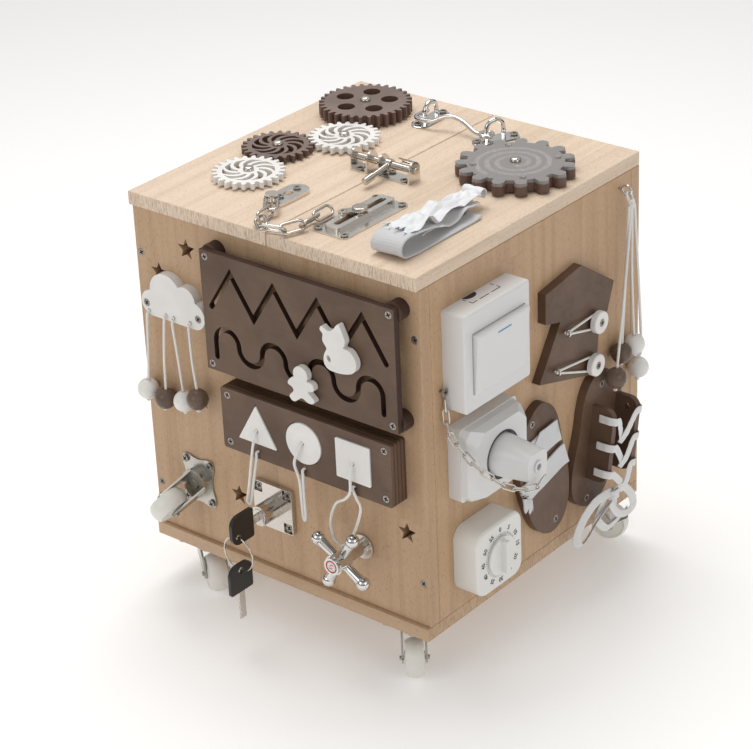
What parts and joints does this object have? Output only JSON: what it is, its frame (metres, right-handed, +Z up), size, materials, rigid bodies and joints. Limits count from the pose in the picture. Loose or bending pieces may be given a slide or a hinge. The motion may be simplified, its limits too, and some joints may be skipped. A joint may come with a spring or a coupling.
{
  "type": "activity cube",
  "caption": "Wooden activity cube on swivel casters with gears, mazes, shape puzzle, latches, lock, tap, switch, plug, dial, laces, straps and hanging beads.",
  "frame": {"origin": "on the floor, under the middle of the top and bottom boards", "axes": "+Z up, -Y out of the front panel with the mazes, +X out of the panel with the switch and socket"},
  "size_m": [0.3683, 0.3677, 0.39],
  "materials": {
    "beech": "clear matt oil",
    "brown_paint": "satin brown paint",
    "white_paint": "satin white paint",
    "bead_wood": "lacquered wood",
    "zinc": "bright zinc plate",
    "chrome": "polished",
    "white_plastic": "smooth moulded",
    "nylon": "milky nylon",
    "black_plastic": "moulded key bow",
    "grey_acrylic": "clear sheet over brown",
    "white_fabric": "woven tape"
  },
  "bodies": {
    "cube": {"bottom_board": "beech", "top_board_left": "beech", "top_board_right": "beech", "front_panel": "beech", "back_panel": "beech", "left_panel": "beech", "right_panel": "beech", "wood_screws": "zinc", "caster_plates": "zinc", "maze_board": "brown_paint", "cloud_board": "white_paint", "puzzle_board": "brown_paint", "lock_case": "chrome", "faucet_stem": "chrome", "switch_housing": "white_plastic", "socket_housing": "white_plastic", "timer_housing": "white_plastic", "house_board": "brown_paint", "elastic_pegs": "white_paint", "sole_boards": "brown_paint", "laces_and_elastics": "white_fabric", "fabric_straps": "white_fabric", "metal_eyes": "zinc", "pivot_bolts": "zinc", "latch_plates": "zinc", "door_chain": "zinc"},
    "caster_fork_front_panel": {"caster_fork_front_panel": "zinc"},
    "caster_wheel_front_panel": {"caster_wheel_front_panel": "nylon"},
    "caster_fork_front_left": {"caster_fork_front_left": "zinc"},
    "caster_wheel_front_left": {"caster_wheel_front_left": "nylon"},
    "caster_fork_front_right": {"caster_fork_front_right": "zinc"},
    "caster_wheel_front_right": {"caster_wheel_front_right": "nylon"},
    "caster_fork_back_left": {"caster_fork_back_left": "zinc"},
    "caster_wheel_back_left": {"caster_wheel_back_left": "nylon"},
    "caster_fork_back_right": {"caster_fork_back_right": "zinc"},
    "caster_wheel_back_right": {"caster_wheel_back_right": "nylon"},
    "cat": {"maze_cat": "white_paint"},
    "child": {"maze_child": "white_paint"},
    "pendants": {"cloud_pendants": "bead_wood"},
    "triangle": {"triangle_piece": "white_paint"},
    "circle": {"circle_piece": "white_paint"},
    "square": {"square_piece": "white_paint"},
    "lock_key": {"lock_key": "black_plastic"},
    "key_ring": {"key_ring_set": "black_plastic"},
    "tap": {"faucet_handle": "chrome"},
    "rocker": {"switch_rocker": "white_plastic"},
    "plug": {"plug": "white_plastic", "plug_chain": "zinc"},
    "timer_dial": {"timer_dial": "white_plastic"},
    "bead_bunch": {"bead_bunch": "bead_wood"},
    "gear_large": {"gear_large": "brown_paint"},
    "gear_rear": {"gear_white_rear": "white_paint"},
    "gear_brown": {"gear_brown": "brown_paint"},
    "gear_front": {"gear_white_front": "white_paint"},
    "spiral": {"spiral_disc": "brown_paint", "spiral_cover": "grey_acrylic"},
    "bolt": {"bolt_rod": "chrome"},
    "bolt_handle": {"bolt_handle": "chrome"},
    "hook": {"hook_arm": "chrome"},
    "chain_slider": {"chain_slider": "zinc"}
  },
  "joints": [
    {"name": "swivel_front_panel", "type": "hinge", "parent": "cube", "child": "caster_fork_front_panel", "pos_m": [-0.097, -0.146, 0.114], "axis": [0, -1, 0], "continuous": true},
    {"name": "roll_front_panel", "type": "hinge", "parent": "caster_fork_front_panel", "child": "caster_wheel_front_panel", "pos_m": [-0.10959, -0.174, 0.09846], "axis": [0.7771, 0, -0.6293], "continuous": true},
    {"name": "swivel_front_left", "type": "hinge", "parent": "cube", "child": "caster_fork_front_left", "pos_m": [-0.114, -0.125, 0.045], "axis": [0, 0, 1], "continuous": true},
    {"name": "roll_front_left", "type": "hinge", "parent": "caster_fork_front_left", "child": "caster_wheel_front_left", "pos_m": [-0.09742, -0.13618, 0.017], "axis": [0.5592, 0.829, 0], "continuous": true},
    {"name": "swivel_front_right", "type": "hinge", "parent": "cube", "child": "caster_fork_front_right", "pos_m": [0.114, -0.125, 0.045], "axis": [0, 0, 1], "continuous": true},
    {"name": "roll_front_right", "type": "hinge", "parent": "caster_fork_front_right", "child": "caster_wheel_front_right", "pos_m": [0.12686, -0.14032, 0.017], "axis": [0.766, 0.6428, 0], "continuous": true},
    {"name": "swivel_back_left", "type": "hinge", "parent": "cube", "child": "caster_fork_back_left", "pos_m": [-0.114, 0.125, 0.045], "axis": [0, 0, 1], "continuous": true},
    {"name": "roll_back_left", "type": "hinge", "parent": "caster_fork_back_left", "child": "caster_wheel_back_left", "pos_m": [-0.1034, 0.14196, 0.017], "axis": [-0.848, 0.5299, 0], "continuous": true},
    {"name": "swivel_back_right", "type": "hinge", "parent": "cube", "child": "caster_fork_back_right", "pos_m": [0.114, 0.125, 0.045], "axis": [0, 0, 1], "continuous": true},
    {"name": "roll_back_right", "type": "hinge", "parent": "caster_fork_back_right", "child": "caster_wheel_back_right", "pos_m": [0.13213, 0.13345, 0.017], "axis": [-0.4226, 0.9063, 0], "continuous": true},
    {"name": "cat_slide", "type": "slide", "parent": "cube", "child": "cat", "axis": [-0.5491, 0, 0.8358], "range_m": [0, 0.038]},
    {"name": "child_bend", "type": "hinge", "parent": "cube", "child": "child", "pos_m": [0.03671, -0.165, 0.2665], "axis": [0, -1, 0], "range_deg": [-100, 45]},
    {"name": "pendant_swing", "type": "hinge", "parent": "cube", "child": "pendants", "pos_m": [-0.109, -0.1558, 0.2685], "axis": [-1, 0, 0], "range_deg": [0, 60]},
    {"name": "triangle_slide", "type": "slide", "parent": "cube", "child": "triangle", "axis": [0, -1, 0], "range_m": [0, 0.025]},
    {"name": "circle_slide", "type": "slide", "parent": "cube", "child": "circle", "axis": [0, -1, 0], "range_m": [0, 0.025]},
    {"name": "square_slide", "type": "slide", "parent": "cube", "child": "square", "axis": [0, -1, 0], "range_m": [0, 0.025]},
    {"name": "lock_turn", "type": "hinge", "parent": "cube", "child": "lock_key", "pos_m": [-0.0105, -0.166, 0.118], "axis": [0, 1, 0], "range_deg": [0, 90]},
    {"name": "ring_hang", "type": "hinge", "parent": "lock_key", "child": "key_ring", "pos_m": [-0.0105, -0.196, 0.111], "axis": [0, 1, 0], "range_deg": [-45, 0]},
    {"name": "tap_turn", "type": "hinge", "parent": "cube", "child": "tap", "pos_m": [0.0825, -0.176, 0.1115], "axis": [0, 1, 0], "continuous": true},
    {"name": "rocker_tip", "type": "hinge", "parent": "cube", "child": "rocker", "pos_m": [0.169, -0.0765, 0.287], "axis": [0, -1, 0], "range_deg": [0, 8]},
    {"name": "plug_pull", "type": "slide", "parent": "cube", "child": "plug", "axis": [1, 0, 0], "range_m": [0, 0.02]},
    {"name": "timer_turn", "type": "hinge", "parent": "cube", "child": "timer_dial", "pos_m": [0.175, -0.0845, 0.105], "axis": [-1, 0, 0], "range_deg": [0, 345]},
    {"name": "bead_swing", "type": "hinge", "parent": "cube", "child": "bead_bunch", "pos_m": [0.1575, 0.1204, 0.347], "axis": [0, -1, 0], "range_deg": [0, 60]},
    {"name": "gear_large_spin", "type": "hinge", "parent": "cube", "child": "gear_large", "pos_m": [-0.09518, 0.09092, 0.375], "axis": [0, 0, 1], "continuous": true},
    {"name": "gear_rear_spin", "type": "hinge", "parent": "cube", "child": "gear_rear", "pos_m": [-0.068, 0.0293, 0.375], "axis": [0, 0, 1], "continuous": true},
    {"name": "gear_brown_spin", "type": "hinge", "parent": "cube", "child": "gear_brown", "pos_m": [-0.10162, -0.01766, 0.375], "axis": [0, 0, 1], "continuous": true},
    {"name": "gear_front_spin", "type": "hinge", "parent": "cube", "child": "gear_front", "pos_m": [-0.08522, -0.07303, 0.375], "axis": [0, 0, 1], "continuous": true},
    {"name": "spiral_spin", "type": "hinge", "parent": "cube", "child": "spiral", "pos_m": [0.094, 0.053, 0.376], "axis": [0, 0, 1], "continuous": true},
    {"name": "bolt_slide", "type": "slide", "parent": "cube", "child": "bolt", "axis": [1, 0, 0], "range_m": [0, 0.02]},
    {"name": "bolt_turn", "type": "hinge", "parent": "bolt", "child": "bolt_handle", "pos_m": [0.0105, -0.0065, 0.3805], "axis": [-1, 0, 0], "range_deg": [0, 80]},
    {"name": "hook_swing", "type": "hinge", "parent": "cube", "child": "hook", "pos_m": [0.0314, 0.0969, 0.376], "axis": [0, 0, 1], "range_deg": [0, 75]},
    {"name": "chain_slide", "type": "slide", "parent": "cube", "child": "chain_slider", "axis": [0, 1, 0], "range_m": [-0.027, 0.022]}
  ],
  "couplings": [
    {"joint": "gear_rear_spin", "follows": "gear_large_spin", "ratio": -1.3333},
    {"joint": "gear_brown_spin", "follows": "gear_large_spin", "ratio": 1.3333},
    {"joint": "gear_front_spin", "follows": "gear_large_spin", "ratio": -1.3333},
    {"joint": "ring_hang", "follows": "lock_turn", "ratio": -0.5}
  ]
}
